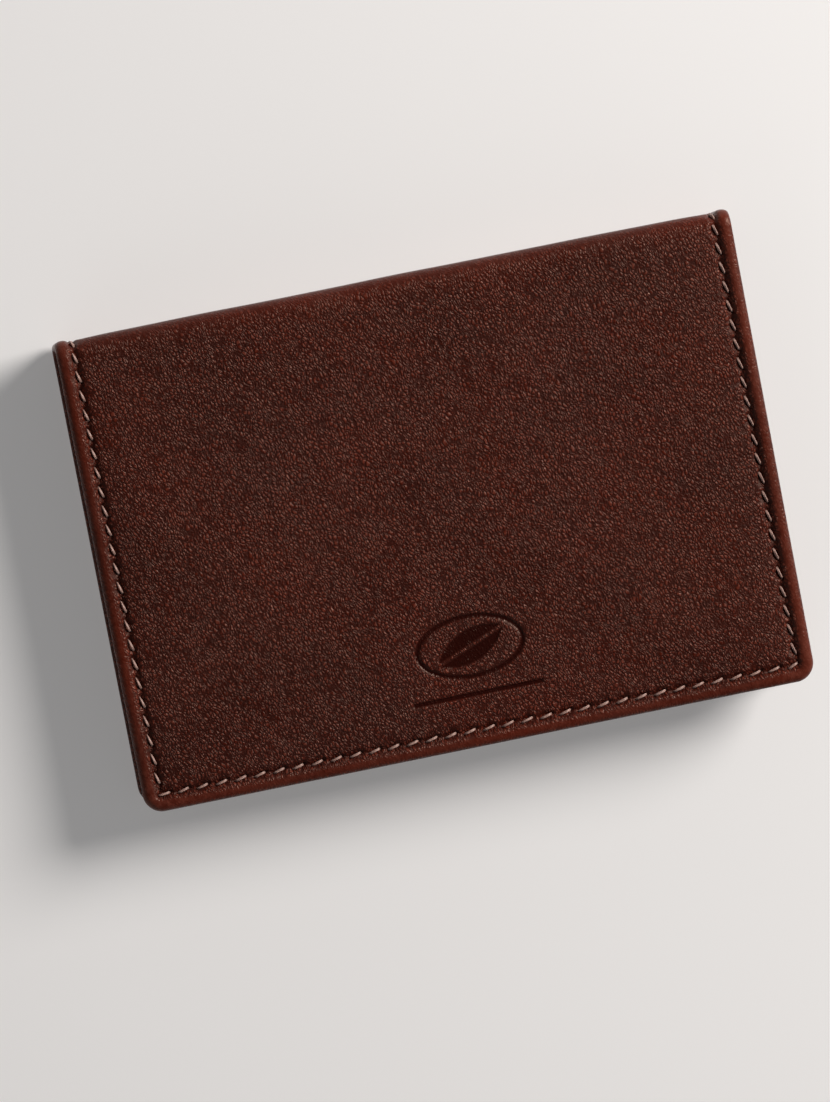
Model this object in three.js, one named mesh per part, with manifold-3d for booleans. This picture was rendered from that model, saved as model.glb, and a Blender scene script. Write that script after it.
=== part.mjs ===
// A closed bifold card holder in leather, lying flat on its back cover with the front cover up.
// Millimetres. X runs along the width, +Y points at the spine, +Z is up, and the origin is the middle of
// the underside. "Inset" always means the distance in from the plan edge of the covers.
import * as THREE from "three";
import { mergeVertices } from "three/addons/utils/BufferGeometryUtils.js";
import Module from "manifold-3d";

const wasm = await Module();
wasm.setup();

// ---- Driving dimensions ----
const WIDTH = 105; // along the spine
const DEPTH = 73.5; // from the free edge to the outer face of the spine
const CORNER_RADIUS = 3; // free corners of the covers
const LEAST_RADIUS = 0.25; // corner radius left on layers that lie further in than CORNER_RADIUS

const LEATHER = 0.8; // outer leather
const BOARD = 0.6; // stiffener inside each cover
const TURN_IN = 0.4; // skived leather turned over the board
const LINING = 0.35;
const GLUE = 0.05; // glue line between layers
const TURN_IN_WIDTH = 9;
const LINING_INSET = 1.2; // where linings, slots, panel and gusset stop short of the rolled edge

const POCKET_ROOM = 4.3; // height of the business card pocket
const PANEL_LINING = 0.25;
const PANEL_LEATHER = 0.75;
const CLOSING_GAP = 0.3; // between the pocket panel and the slots when closed
const SLOT_LEATHER = 0.55;
const SLOT_GAP = 0.25; // between one slot and the next
const SLOT_BACK_GAP = 0.1; // between the rear slot and the lining

const BEAD_OVER_LEATHER = 0.32; // radius of the bend in the leather at each fold, over its thickness
const FOLD_CLEARANCE = 0.18; // from the bend to the end of the covers' layers
const SPINE_BOARD = 0.5;
const SPINE_LAYER_GAP = 0.2; // between the bend of the leather and the stiff layers of the spine

const SEAM_INSET = 2.66; // stitch line all round
const THREAD = 0.4; // outer stitches, sunk in a groove
const GROOVE_CLEARANCE = 0.05;
const INNER_THREAD = 0.2; // height of the stitches on the inside

const POCKET_MOUTH_DROP = 9.3; // pocket mouth, down from the spine end of the covers
const SLOT_MOUTH_DROP = 22; // rear slot mouth, likewise
const SLOT_STEP = 10; // front slot mouth, down from the rear one
const MOUTH_STITCH_INSET = 4.5; // ends of the mouth stitches, clear of the edge seam
const NOTCH_HALF_WIDTH = 15;
const NOTCH_DEPTH = 7;

const GUSSET = 0.4;
const GUSSET_FOOT = 3.9; // inset where the sewn foot turns into the folded leaf
const GUSSET_FOLD = 7; // inset of the inward fold
const GUSSET_SHORTER = 1; // gusset stops this far below the pocket mouth

const ARC_STEPS = 6; // facets in a quarter round
const CUT_PAST = 1; // how far a cutter runs past the face that it cuts

// ---- Levels worked out from the layers ----
const tray = LEATHER + GLUE + BOARD + GLUE + TURN_IN;
const cover = tray + GLUE + LINING;
const panelLiningZ = cover + POCKET_ROOM;
const panelZ = panelLiningZ + PANEL_LINING + GLUE;
const panelTop = panelZ + PANEL_LEATHER;
const frontSlotZ = panelTop + CLOSING_GAP;
const rearSlotZ = frontSlotZ + SLOT_LEATHER + SLOT_GAP;
const frontLiningZ = rearSlotZ + SLOT_LEATHER + SLOT_BACK_GAP;
const THICKNESS = frontLiningZ + cover;

const halfWidth = WIDTH / 2;
const freeEdge = -DEPTH / 2;
const spineFace = DEPTH / 2;
const hingeInset = LEATHER + BEAD_OVER_LEATHER; // fold axes, in from the outer faces
const coverEnd = spineFace - 2 * hingeInset - FOLD_CLEARANCE;
const panelMouthY = coverEnd - POCKET_MOUTH_DROP;
const rearSlotMouthY = coverEnd - SLOT_MOUTH_DROP;
const frontSlotMouthY = rearSlotMouthY - SLOT_STEP;
const grooveDepth = THREAD + GROOVE_CLEARANCE;
const mouthStitch = SEAM_INSET - LINING_INSET; // stitch line below a mouth, as far in as the edge seam
const notchRadius = (NOTCH_HALF_WIDTH ** 2 + NOTCH_DEPTH ** 2) / (2 * NOTCH_DEPTH);
const spineLayerLow = 2 * hingeInset + SPINE_LAYER_GAP;
const spineLayerHigh = THICKNESS - spineLayerLow;

// ---- Solids ----
function solidOf(geometry) {
  const bare = geometry.clone();
  bare.deleteAttribute("normal");
  bare.deleteAttribute("uv");
  const merged = mergeVertices(bare, 1e-3);
  return new wasm.Manifold(
    new wasm.Mesh({
      numProp: 3,
      vertProperties: new Float32Array(merged.attributes.position.array),
      triVerts: new Uint32Array(merged.index.array),
    }),
  );
}

function geometryOf(solid) {
  const mesh = solid.getMesh();
  const geometry = new THREE.BufferGeometry();
  geometry.setAttribute("position", new THREE.BufferAttribute(mesh.vertProperties, 3));
  geometry.setIndex(new THREE.BufferAttribute(mesh.triVerts, 1));
  geometry.computeVertexNormals();
  return geometry;
}

function block(low, high) {
  const geometry = new THREE.BoxGeometry(high[0] - low[0], high[1] - low[1], high[2] - low[2]);
  geometry.translate((low[0] + high[0]) / 2, (low[1] + high[1]) / 2, (low[2] + high[2]) / 2);
  return solidOf(geometry);
}

function plate(shape, low, high) {
  const geometry = new THREE.ExtrudeGeometry(shape, {
    depth: high - low,
    bevelEnabled: false,
    curveSegments: ARC_STEPS,
  });
  geometry.translate(0, 0, low);
  return solidOf(geometry);
}

// ---- Plan outlines ----
function radiusAt(inset) {
  return Math.max(CORNER_RADIUS - inset, LEAST_RADIUS);
}

// The three sewn sides at one inset, from the left end round to the right end.
function threeSides(inset, endY) {
  const radius = radiusAt(inset);
  const reach = halfWidth - inset;
  const points = [[-reach, endY]];
  for (const side of [-1, 1]) {
    for (let step = 0; step <= ARC_STEPS; step += 1) {
      const turn = (step / ARC_STEPS) * (Math.PI / 2);
      const angle = side < 0 ? Math.PI + turn : 1.5 * Math.PI + turn;
      points.push([
        side * (reach - radius) + radius * Math.cos(angle),
        freeEdge + inset + radius + radius * Math.sin(angle),
      ]);
    }
  }
  points.push([reach, endY]);
  return points;
}

function outline(inset, endY) {
  return new THREE.Shape(threeSides(inset, endY).map(([x, y]) => new THREE.Vector2(x, y)));
}

// The pocket mouth, or a line that follows it `below` it, from right to left.
function notchedMouth(below, reach) {
  const y = panelMouthY - below;
  const radius = notchRadius + below;
  const centreY = panelMouthY + notchRadius - NOTCH_DEPTH;
  const halfAngle = Math.acos((centreY - y) / radius);
  const steps = 4 * ARC_STEPS;
  const points = [[reach, y]];
  for (let step = 0; step <= steps; step += 1) {
    const angle = halfAngle * (1 - (2 * step) / steps);
    points.push([radius * Math.sin(angle), centreY - radius * Math.cos(angle)]);
  }
  points.push([-reach, y]);
  return points;
}

function panelOutline(inset, below) {
  const mouthY = panelMouthY - below;
  const sides = threeSides(inset, mouthY);
  const mouth = notchedMouth(below, halfWidth - inset).slice(1, -1);
  return new THREE.Shape([...sides, ...mouth].map(([x, y]) => new THREE.Vector2(x, y)));
}

function mouthBand(width, reach) {
  const upper = notchedMouth(mouthStitch - width / 2, reach);
  const lower = notchedMouth(mouthStitch + width / 2, reach).reverse();
  return new THREE.Shape([...upper, ...lower].map(([x, y]) => new THREE.Vector2(x, y)));
}

// ---- Swept rims: a section of [inset, z] points, counter-clockwise, carried round the three sewn sides ----
function rim(section, endY) {
  const rails = section.map(([inset, z]) => threeSides(inset, endY).map(([x, y]) => [x, y, z]));
  const stations = rails[0].length;
  const count = section.length;
  const position = [];
  for (let station = 0; station < stations; station += 1) {
    for (const rail of rails) {
      position.push(...rail[station]);
    }
  }
  const index = [];
  for (let station = 0; station + 1 < stations; station += 1) {
    for (let i = 0; i < count; i += 1) {
      const a = station * count + i;
      const b = station * count + ((i + 1) % count);
      index.push(a, b, a + count, b, b + count, a + count);
    }
  }
  const contour = section.map(([inset, z]) => new THREE.Vector2(inset, z));
  const last = (stations - 1) * count;
  for (const [a, b, c] of THREE.ShapeUtils.triangulateShape(contour, [])) {
    index.push(a, c, b, last + a, last + b, last + c);
  }
  const geometry = new THREE.BufferGeometry();
  geometry.setAttribute("position", new THREE.Float32BufferAttribute(position, 3));
  geometry.setIndex(index);
  return solidOf(geometry);
}

function flipped(section) {
  return section.map(([inset, z]) => [inset, THICKNESS - z]).reverse();
}

function rectangle(insetLow, insetHigh, low, high) {
  return [
    [insetLow, low],
    [insetHigh, low],
    [insetHigh, high],
    [insetLow, high],
  ];
}

function seamSection(width, low, high) {
  return rectangle(SEAM_INSET - width / 2, SEAM_INSET + width / 2, low, high);
}

// ---- Covers ----
const grooveHalf = THREAD / 2 + GROOVE_CLEARANCE;
const plateOverlap = 0.5;
const plateInset = TURN_IN_WIDTH + plateOverlap;

// Outer skin with its stitch groove, rolled round the board's edge and turned in over it.
function traySection() {
  const roll = tray / 2;
  const turnInZ = tray - TURN_IN;
  const section = [
    [SEAM_INSET - grooveHalf, 0],
    [SEAM_INSET - grooveHalf, grooveDepth],
    [SEAM_INSET + grooveHalf, grooveDepth],
    [SEAM_INSET + grooveHalf, 0],
    [plateInset + plateOverlap, 0],
    [plateInset + plateOverlap, LEATHER],
    [LEATHER, LEATHER],
    [LEATHER, turnInZ],
    [TURN_IN_WIDTH, turnInZ],
    [TURN_IN_WIDTH, tray],
  ];
  for (let step = 0; step <= 2 * ARC_STEPS; step += 1) {
    const angle = Math.PI / 2 + (step / (2 * ARC_STEPS)) * Math.PI;
    section.push([roll + roll * Math.cos(angle), roll + roll * Math.sin(angle)]);
  }
  return section;
}

function coverLeather(isFront) {
  const section = isFront ? flipped(traySection()) : traySection();
  const low = isFront ? THICKNESS - LEATHER : 0;
  const middle = block(
    [-(halfWidth - plateInset), freeEdge + plateInset, low],
    [halfWidth - plateInset, coverEnd, low + LEATHER],
  );
  return rim(section, coverEnd).add(middle);
}

function coverBoard(isFront) {
  const low = isFront ? THICKNESS - LEATHER - GLUE - BOARD : LEATHER + GLUE;
  return plate(outline(LEATHER + GLUE, coverEnd), low, low + BOARD);
}

function coverLining(isFront) {
  const low = isFront ? frontLiningZ : cover - LINING;
  return plate(outline(LINING_INSET, coverEnd), low, low + LINING);
}

function outerThread(isFront) {
  const section = seamSection(THREAD, GROOVE_CLEARANCE, THREAD);
  return rim(isFront ? flipped(section) : section, coverEnd);
}

// Stitches on the inside: a run round three sides, with straight runs at other levels past each edge
// that the seam steps over. Each step is [edgeY, level of the next run].
function innerThread(firstLevel, steps, side) {
  const runs = [[firstLevel, freeEdge], ...steps.map(([edgeY, level]) => [level, edgeY])];
  const ends = [...steps.map(([edgeY]) => edgeY + 2 * THREAD), coverEnd];
  const levelBox = (level) => [
    Math.min(level, level + side * INNER_THREAD),
    Math.max(level, level + side * INNER_THREAD),
  ];
  const [firstLow, firstHigh] = levelBox(firstLevel);
  let solid = rim(seamSection(THREAD, firstLow, firstHigh), ends[0]);
  for (const sign of [-1, 1]) {
    const seamX = sign * (halfWidth - SEAM_INSET);
    for (let k = 1; k < runs.length; k += 1) {
      const [level, edgeY] = runs[k];
      const [low, high] = levelBox(level);
      const [lastLow, lastHigh] = levelBox(runs[k - 1][0]);
      const startY = edgeY + THREAD;
      const run = block([seamX - THREAD / 2, startY, low], [seamX + THREAD / 2, ends[k], high]);
      const riser = block(
        [seamX - THREAD / 2, startY, Math.min(low, lastLow)],
        [seamX + THREAD / 2, startY + THREAD, Math.max(high, lastHigh)],
      );
      solid = solid.add(run).add(riser);
    }
  }
  return solid;
}

// ---- Spine ----
function arc(centreY, centreZ, radius, from, to) {
  const steps = Math.ceil(Math.abs(to - from) / (Math.PI / 2 / ARC_STEPS));
  const points = [];
  for (let step = 0; step <= steps; step += 1) {
    const angle = from + ((to - from) * step) / steps;
    const y = centreY + radius * Math.cos(angle);
    const z = centreZ + radius * Math.sin(angle);
    points.push(new THREE.Vector2(y, z));
  }
  return points;
}

// Flat leather strip with a bead at each fold, so that it meets both covers at any angle.
function spineLeather() {
  const axisY = spineFace - hingeInset;
  const topAxisZ = THICKNESS - hingeInset;
  const meet = Math.acos((hingeInset - LEATHER) / hingeInset);
  const profile = new THREE.Shape([
    ...arc(axisY, topAxisZ, hingeInset, 0, Math.PI),
    ...arc(axisY, topAxisZ, hingeInset, Math.PI, 2 * Math.PI - meet).slice(1),
    ...arc(axisY, hingeInset, hingeInset, meet, Math.PI),
    ...arc(axisY, hingeInset, hingeInset, Math.PI, 2 * Math.PI).slice(1),
  ]);
  const geometry = new THREE.ExtrudeGeometry(profile, { depth: WIDTH, bevelEnabled: false });
  geometry.translate(0, 0, -halfWidth);
  const turn = new THREE.Matrix4().makeBasis(
    new THREE.Vector3(0, 1, 0),
    new THREE.Vector3(0, 0, 1),
    new THREE.Vector3(1, 0, 0),
  );
  geometry.applyMatrix4(turn);
  let solid = solidOf(geometry);
  for (const side of [-1, 1]) {
    const seamX = side * (halfWidth - SEAM_INSET);
    const groove = block(
      [seamX - grooveHalf, spineFace - grooveDepth, spineLayerLow - GROOVE_CLEARANCE],
      [seamX + grooveHalf, spineFace + CUT_PAST, spineLayerHigh + GROOVE_CLEARANCE],
    );
    solid = solid.subtract(groove);
  }
  return solid;
}

function spineLayer(depthFromFace, thickness, inset) {
  const outer = spineFace - depthFromFace;
  return block(
    [-(halfWidth - inset), outer - thickness, spineLayerLow],
    [halfWidth - inset, outer, spineLayerHigh],
  );
}

function spineThread(side) {
  const seamX = side * (halfWidth - SEAM_INSET);
  return block(
    [seamX - THREAD / 2, spineFace - THREAD, spineLayerLow],
    [seamX + THREAD / 2, spineFace - GROOVE_CLEARANCE, spineLayerHigh],
  );
}

// ---- Card slots, on the inside of the front cover ----
function mouthLine(mouthY, width, low, high) {
  const reach = halfWidth - MOUTH_STITCH_INSET + width / 2;
  const y = mouthY - mouthStitch;
  return block([-reach, y - width / 2, low], [reach, y + width / 2, high]);
}

function cardSlot(mouthY, low) {
  const grooveTop = low + INNER_THREAD + GROOVE_CLEARANCE;
  const groove = mouthLine(mouthY, 2 * grooveHalf, low - CUT_PAST, grooveTop);
  return plate(outline(LINING_INSET, mouthY), low, low + SLOT_LEATHER).subtract(groove);
}

function slotThread(mouthY, low) {
  return mouthLine(mouthY, THREAD, low, low + INNER_THREAD);
}

// ---- Gusseted business card pocket, on the inside of the back cover ----
function pocketPanel() {
  const low = panelTop - grooveDepth;
  const high = panelTop + CUT_PAST;
  const seamGroove = rim(seamSection(2 * grooveHalf, low, high), panelMouthY + CUT_PAST);
  const reach = halfWidth - MOUTH_STITCH_INSET + GROOVE_CLEARANCE;
  const mouthGroove = plate(mouthBand(2 * grooveHalf, reach), low, high);
  const panel = plate(panelOutline(LINING_INSET, 0), panelZ, panelTop);
  return panel.subtract(seamGroove).subtract(mouthGroove);
}

function pocketPanelLining() {
  return plate(panelOutline(LINING_INSET, GLUE), panelLiningZ, panelLiningZ + PANEL_LINING);
}

function pocketMouthThread() {
  const reach = halfWidth - MOUTH_STITCH_INSET;
  return plate(mouthBand(THREAD, reach), panelTop - THREAD, panelTop - GROOVE_CLEARANCE);
}

function pocketSeamThread() {
  const section = seamSection(THREAD, panelTop - THREAD, panelTop - GROOVE_CLEARANCE);
  return rim(section, panelMouthY - mouthStitch / 2);
}

const gussetEnd = panelMouthY - GUSSET_SHORTER;

// A strip folded inwards in a V between the back lining and the panel, round the three closed sides.
function pocketGusset() {
  const low = cover + GLUE;
  const high = panelLiningZ - GLUE;
  const middle = (low + high) / 2;
  const leafRun = GUSSET_FOLD - GUSSET_FOOT;
  const leafRise = middle - low;
  const across = (GUSSET * Math.hypot(leafRun, leafRise)) / leafRise;
  const section = [
    [LINING_INSET, low],
    [GUSSET_FOOT, low],
    [GUSSET_FOLD, middle],
    [GUSSET_FOOT, high],
    [LINING_INSET, high],
    [LINING_INSET, high - GUSSET],
    [GUSSET_FOOT - across + (GUSSET * leafRun) / leafRise, high - GUSSET],
    [GUSSET_FOLD - across, middle],
    [GUSSET_FOOT - across + (GUSSET * leafRun) / leafRise, low + GUSSET],
    [LINING_INSET, low + GUSSET],
  ];
  return rim(section, gussetEnd);
}

// ---- Materials ----
const outerLeather = new THREE.MeshStandardMaterial({ color: 0x6b3a33, roughness: 0.55, metalness: 0 });
const innerLeather = new THREE.MeshStandardMaterial({ color: 0x62352e, roughness: 0.6, metalness: 0 });
const liningFabric = new THREE.MeshStandardMaterial({ color: 0x3a2a26, roughness: 0.9, metalness: 0 });
const greyBoard = new THREE.MeshStandardMaterial({ color: 0x8a8478, roughness: 0.95, metalness: 0 });
const thread = new THREE.MeshStandardMaterial({ color: 0x9a6a5c, roughness: 0.7, metalness: 0 });

// ---- Assembly ----
function addMesh(group, name, solid, material) {
  const mesh = new THREE.Mesh(geometryOf(solid), material);
  mesh.name = name;
  group.add(mesh);
}

function backCover() {
  const group = new THREE.Group();
  const gussetTop = cover + GLUE + GUSSET + GROOVE_CLEARANCE;
  const liningTop = cover + GROOVE_CLEARANCE;
  addMesh(group, "back_cover_leather", coverLeather(false), outerLeather);
  addMesh(group, "back_cover_board", coverBoard(false), greyBoard);
  addMesh(group, "back_cover_lining", coverLining(false), liningFabric);
  addMesh(group, "back_outer_thread", outerThread(false), thread);
  addMesh(group, "back_inner_thread", innerThread(gussetTop, [[gussetEnd, liningTop]], 1), thread);
  return group;
}

function spine() {
  const group = new THREE.Group();
  const boardDepth = LEATHER + GLUE;
  const liningDepth = boardDepth + SPINE_BOARD + GLUE;
  addMesh(group, "spine_leather", spineLeather(), outerLeather);
  addMesh(group, "spine_board", spineLayer(boardDepth, SPINE_BOARD, SEAM_INSET + 1), greyBoard);
  addMesh(group, "spine_lining", spineLayer(liningDepth, LINING, LINING_INSET), liningFabric);
  addMesh(group, "spine_left_thread", spineThread(-1), thread);
  addMesh(group, "spine_right_thread", spineThread(1), thread);
  return group;
}

function frontCover() {
  const group = new THREE.Group();
  const levels = [frontSlotZ, rearSlotZ, frontLiningZ].map((level) => level - GROOVE_CLEARANCE);
  const steps = [
    [frontSlotMouthY, levels[1]],
    [rearSlotMouthY, levels[2]],
  ];
  addMesh(group, "front_cover_leather", coverLeather(true), outerLeather);
  addMesh(group, "front_cover_board", coverBoard(true), greyBoard);
  addMesh(group, "front_cover_lining", coverLining(true), liningFabric);
  addMesh(group, "front_outer_thread", outerThread(true), thread);
  addMesh(group, "front_inner_thread", innerThread(levels[0], steps, -1), thread);
  addMesh(group, "rear_card_slot", cardSlot(rearSlotMouthY, rearSlotZ), innerLeather);
  addMesh(group, "rear_slot_thread", slotThread(rearSlotMouthY, rearSlotZ), thread);
  addMesh(group, "front_card_slot", cardSlot(frontSlotMouthY, frontSlotZ), innerLeather);
  addMesh(group, "front_slot_thread", slotThread(frontSlotMouthY, frontSlotZ), thread);
  return group;
}

function pocket() {
  const group = new THREE.Group();
  addMesh(group, "pocket_panel", pocketPanel(), innerLeather);
  addMesh(group, "pocket_panel_lining", pocketPanelLining(), liningFabric);
  addMesh(group, "pocket_mouth_thread", pocketMouthThread(), thread);
  addMesh(group, "pocket_seam_thread", pocketSeamThread(), thread);
  addMesh(group, "pocket_gusset", pocketGusset(), innerLeather);
  return group;
}

const cardHolder = new THREE.Group();
cardHolder.add(backCover(), spine(), frontCover(), pocket());

export default cardHolder;
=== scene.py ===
"""A closed bifold leather card holder, lying on its back cover on a pale floor.

Shapes are worked out in millimetres on the unrolled hide: x along the fold, s from a cover's free edge
to the middle of the spine, and depth from the hide's outer face inwards. bend() takes them to the frame
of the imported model, where each cover folds into its half of the spine.
"""
import math

import bmesh
import bpy
import numpy as np
from mathutils import Matrix, Vector


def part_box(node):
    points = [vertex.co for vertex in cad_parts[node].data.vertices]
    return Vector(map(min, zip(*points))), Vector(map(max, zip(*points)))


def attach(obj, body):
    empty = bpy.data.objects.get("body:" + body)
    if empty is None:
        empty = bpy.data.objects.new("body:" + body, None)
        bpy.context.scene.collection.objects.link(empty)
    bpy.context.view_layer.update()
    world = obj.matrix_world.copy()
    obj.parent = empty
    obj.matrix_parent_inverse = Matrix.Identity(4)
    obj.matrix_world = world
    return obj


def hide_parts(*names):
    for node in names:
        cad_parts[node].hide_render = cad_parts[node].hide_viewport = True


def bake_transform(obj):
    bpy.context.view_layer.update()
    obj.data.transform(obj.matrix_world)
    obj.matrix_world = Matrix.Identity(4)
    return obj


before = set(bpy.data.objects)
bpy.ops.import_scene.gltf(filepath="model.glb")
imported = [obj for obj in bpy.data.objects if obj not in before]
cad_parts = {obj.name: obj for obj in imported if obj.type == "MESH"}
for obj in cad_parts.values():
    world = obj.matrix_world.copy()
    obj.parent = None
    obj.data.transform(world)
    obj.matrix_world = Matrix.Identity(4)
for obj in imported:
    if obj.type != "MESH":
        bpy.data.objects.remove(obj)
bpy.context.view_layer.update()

MM = 0.001


def node_box(node):
    low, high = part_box(node)
    return np.array(low) / MM, np.array(high) / MM


# ---- Sizes that the CAD model sets, in millimetres ----
COVER_LOW, COVER_HIGH = node_box("front_cover_leather")
HALF_WIDTH = COVER_HIGH[0]
FREE_EDGE = COVER_LOW[1]
COVER_END = COVER_HIGH[1]
THICKNESS = COVER_HIGH[2]
TRAY = THICKNESS - COVER_LOW[2]
SPINE_FACE = node_box("spine_leather")[1][1]
LINING_LOW, LINING_HIGH = node_box("front_cover_lining")
LINING_INSET = HALF_WIDTH - LINING_HIGH[0]
LINING_OUTER = THICKNESS - LINING_HIGH[2]
LINING_INNER = THICKNESS - LINING_LOW[2]
SPINE_LINING_INNER = SPINE_FACE - node_box("spine_lining")[0][1]
SPINE_LINING_OUTER = SPINE_FACE - node_box("spine_lining")[1][1]
THREAD_LOW, THREAD_HIGH = node_box("spine_right_thread")
SEAM_INSET = HALF_WIDTH - (THREAD_LOW[0] + THREAD_HIGH[0]) / 2
FRONT_SLOT_LOW, FRONT_SLOT_HIGH = node_box("front_card_slot")
REAR_SLOT_LOW, REAR_SLOT_HIGH = node_box("rear_card_slot")
PANEL_LOW, PANEL_HIGH = node_box("pocket_panel")
PANEL_LINING_LOW, PANEL_LINING_HIGH = node_box("pocket_panel_lining")
GUSSET_LOW, GUSSET_HIGH = node_box("pocket_gusset")

# ---- Sizes of the finished surface, in millimetres ----
LEATHER = 0.8
FOLD_RADIUS = 2.4
SPINE_LEAN = 0.75  # how far the back fold sits in from the front one
CORNER_RADIUS = 3.0
LEAST_RADIUS = 0.3
CORNER_ZONE = 4.8  # length of each side that belongs to its corner's stations
PATCH_INSET = 4.35  # where the coarser middle of a sheet starts
STITCH_PITCH = 3.0
STITCH_LENGTH = 2.1
STITCH_SLANT = math.radians(17)
STITCH_RADIUS = 0.175
NOTCH_HALF_WIDTH = 15.0
NOTCH_DEPTH = 7.0
NOTCH_RADIUS = (NOTCH_HALF_WIDTH**2 + NOTCH_DEPTH**2) / (2 * NOTCH_DEPTH)

FLAT = SPINE_FACE - FOLD_RADIUS - FREE_EDGE
ARC = math.pi / 2 * FOLD_RADIUS
REACH = FLAT + ARC + THICKNESS / 2 - FOLD_RADIUS

FRONT, BACK = 1, -1


def smooth(value, low=0.0, high=1.0):
    t = np.clip((value - low) / (high - low), 0, 1)
    return t * t * (3 - 2 * t)


def bell(value, middle, width):
    return np.exp(-(((value - middle) / width) ** 2))


def bend(points, side):
    """Points in the model's frame, from (x, s, depth) on the front or the back half of the hide."""
    x, s, depth = points[:, 0], points[:, 1], points[:, 2]
    angle = np.clip((s - FLAT) / FOLD_RADIUS, 0, math.pi / 2)
    radius = FOLD_RADIUS - depth
    y = FREE_EDGE + np.minimum(s, FLAT) + radius * np.sin(angle)
    down_spine = np.clip(s - FLAT - ARC, 0, None) / (THICKNESS - 2 * FOLD_RADIUS)
    lean = down_spine if side == FRONT else (1 - down_spine) * smooth(s, FLAT - 8, FLAT)
    drop = FOLD_RADIUS - radius * np.cos(angle) + np.maximum(s - FLAT - ARC, 0)
    z = THICKNESS - drop if side == FRONT else drop
    return np.stack([x, y - SPINE_LEAN * lean, z], 1)


def on_hide(points, side):
    """The same points on the whole unrolled hide, so that its grain runs on over the spine."""
    hide = points[:, :3].copy()
    if side == BACK:
        hide[:, 1] = 2 * REACH - hide[:, 1]
    return hide


# ---- Rails: lines parallel to the sides of a rounded rectangle, with matching stations ----


MIDDLE_INSET = 99.0  # stands in for the inset at the points of a sheet's flat middle
NO_STATION = -1.0
NOWHERE = ((np.inf, np.inf), (-np.inf, -np.inf))


class Rails:
    """Open rails run down the left side, along the bottom and up the right. Closed ones cross the top too."""

    def __init__(self, low, high, radii, step, closed=False, zone=CORNER_ZONE):
        self.low, self.high = np.array(low, float), np.array(high, float)
        self.radii, self.closed, self.zone = radii, closed, zone
        (x0, s0), (x1, s1) = self.low, self.high
        corners = [np.array(c) for c in ((x0, s1), (x0, s0), (x1, s0), (x1, s1), (x0, s1))]
        count = 4 if closed else 3
        self.sides = []
        for k in range(count):
            start, end = corners[k], corners[k + 1]
            length = np.linalg.norm(end - start)
            first = zone if closed or k > 0 else 0.0
            last = length - zone if closed or k + 1 < count else length
            steps = max(2, round((last - first) / step))
            self.sides.append((start, end, (end - start) / length, np.linspace(first, last, steps + 1)))
        self.corner_steps = max(8, round(zone * 1.6 / step))

    def corner(self, k, inset):
        """Points of the corner that follows side k, without the sides' own end points."""
        _, end, along, _ = self.sides[k]
        inward = np.array([-along[1], along[0]])
        radius = max(self.radii[k] - inset, LEAST_RADIUS)
        straight = max(self.zone - inset - radius, 0)
        centre = end + (inward - along) * (inset + radius)
        total = 2 * straight + radius * math.pi / 2
        points = []
        for step in range(1, self.corner_steps):
            run = total * step / self.corner_steps
            if run < straight:
                points.append(end - along * (self.zone - run) + inward * inset)
            elif run > total - straight:
                points.append(end + inward * (self.zone - total + run) - along * inset)
            else:
                turn = (run - straight) / radius
                points.append(centre + radius * (along * math.sin(turn) - inward * math.cos(turn)))
        return points

    def rail(self, inset):
        points = []
        for k, (start, _, along, stations) in enumerate(self.sides):
            inward = np.array([-along[1], along[0]])
            points.extend(start + along * t + inward * inset for t in stations)
            if self.closed or k + 1 < len(self.sides):
                points.extend(self.corner(k, inset))
        return np.array(points)

    def spans(self):
        """First and last station of each side."""
        out, index = [], 0
        for _, _, _, stations in self.sides:
            out.append((index, index + len(stations) - 1))
            index += len(stations) + self.corner_steps - 1
        return out


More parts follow.
